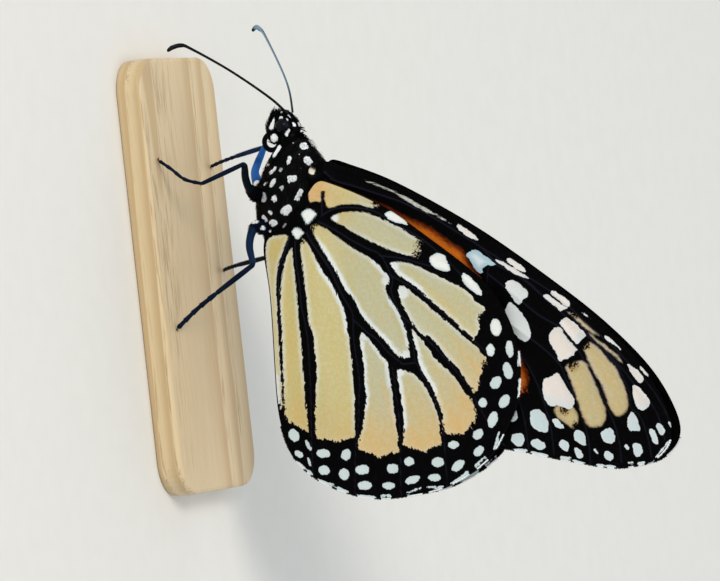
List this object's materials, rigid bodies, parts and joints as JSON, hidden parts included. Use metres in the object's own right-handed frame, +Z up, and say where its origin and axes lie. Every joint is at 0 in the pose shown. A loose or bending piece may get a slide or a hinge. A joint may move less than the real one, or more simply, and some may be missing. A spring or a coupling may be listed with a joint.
{
  "type": "monarch butterfly",
  "caption": "Life-size still model of a monarch butterfly, standing with its orange, black and white wings closed over its back, on a thin wooden base.",
  "frame": {"origin": "centre of the base's flat underside, on the surface that it stands on", "axes": "+Z up, towards the wing tips; the head faces -X and the left side faces -Y"},
  "size_m": [0.0559, 0.025, 0.0589],
  "materials": {
    "hair_black": "short black hair with round white spots",
    "eye_glossy": "glossy, finely faceted",
    "cuticle_black": "satin black with a blue sheen",
    "wing_scales": "matt wing scales: tan cells, black veins and margins, white spots; orange on the upper sides",
    "base_wood": "pale ash, satin"
  },
  "bodies": {
    "root": {"head": "hair_black", "thorax": "hair_black", "abdomen": "hair_black", "palp_left": "hair_black", "palp_right": "hair_black", "foreleg_left": "hair_black", "foreleg_right": "hair_black", "eye_left": "eye_glossy", "eye_right": "eye_glossy", "proboscis": "cuticle_black", "antenna_left": "cuticle_black", "antenna_right": "cuticle_black", "leg_mid_left_femur": "cuticle_black", "leg_mid_left_tibia": "cuticle_black", "leg_mid_left_tarsus": "cuticle_black", "leg_mid_right_femur": "cuticle_black", "leg_mid_right_tibia": "cuticle_black", "leg_mid_right_tarsus": "cuticle_black", "leg_hind_left_femur": "cuticle_black", "leg_hind_left_tibia": "cuticle_black", "leg_hind_left_tarsus": "cuticle_black", "leg_hind_right_femur": "cuticle_black", "leg_hind_right_tibia": "cuticle_black", "leg_hind_right_tarsus": "cuticle_black", "forewing_left": "wing_scales", "forewing_right": "wing_scales", "hindwing_left": "wing_scales", "hindwing_right": "wing_scales", "stand_base": "base_wood"}
  },
  "joints": []
}
